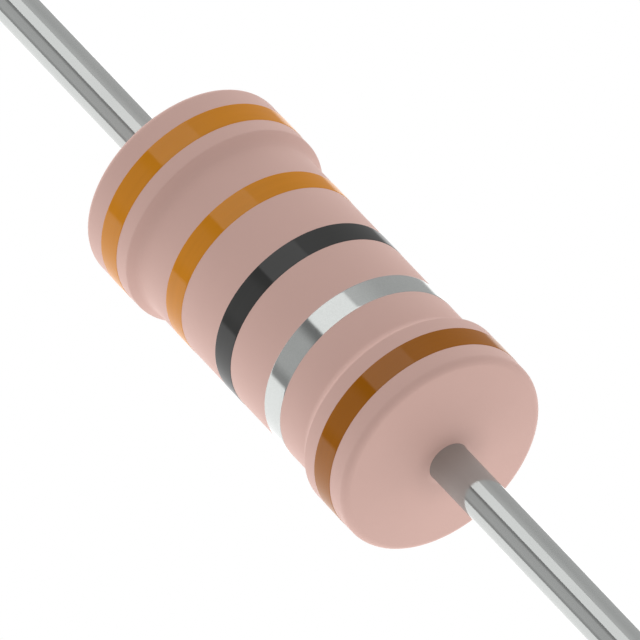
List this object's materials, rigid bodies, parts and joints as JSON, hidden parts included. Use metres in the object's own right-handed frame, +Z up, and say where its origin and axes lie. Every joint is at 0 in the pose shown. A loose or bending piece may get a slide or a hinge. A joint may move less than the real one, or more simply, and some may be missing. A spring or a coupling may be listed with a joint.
{
  "type": "axial resistor",
  "caption": "Film resistor with a dog-bone coated body, a round wire leaving each end along one axis, and painted colour bands for its value.",
  "frame": {"origin": "middle of the body, on the wires' common axis", "axes": "+X along the wires towards the tolerance band (brown) end, +Z up; the part is a body of revolution about X"},
  "size_m": [0.052, 0.0042, 0.0042],
  "materials": {
    "lacquer": "matt pinkish grey-brown lacquer",
    "orange_paint": "glossy orange marking paint",
    "black_paint": "glossy black marking paint",
    "silver_paint": "glossy silver marking paint",
    "brown_paint": "glossy brown marking paint",
    "tinned_wire": "bright tinned copper wire",
    "cap_steel": "plated steel sheet",
    "ceramic": "white alumina, unglazed",
    "film": "thin dark metal film"
  },
  "bodies": {
    "root": {"ceramic_core": "ceramic", "resistive_film": "film", "left_end_cap": "cap_steel", "right_end_cap": "cap_steel", "left_lead": "tinned_wire", "right_lead": "tinned_wire", "coating": "lacquer", "band_1_first_digit": "orange_paint", "band_2_second_digit": "orange_paint", "band_3_third_digit": "black_paint", "band_4_multiplier": "silver_paint", "band_5_tolerance": "brown_paint"}
  },
  "joints": []
}
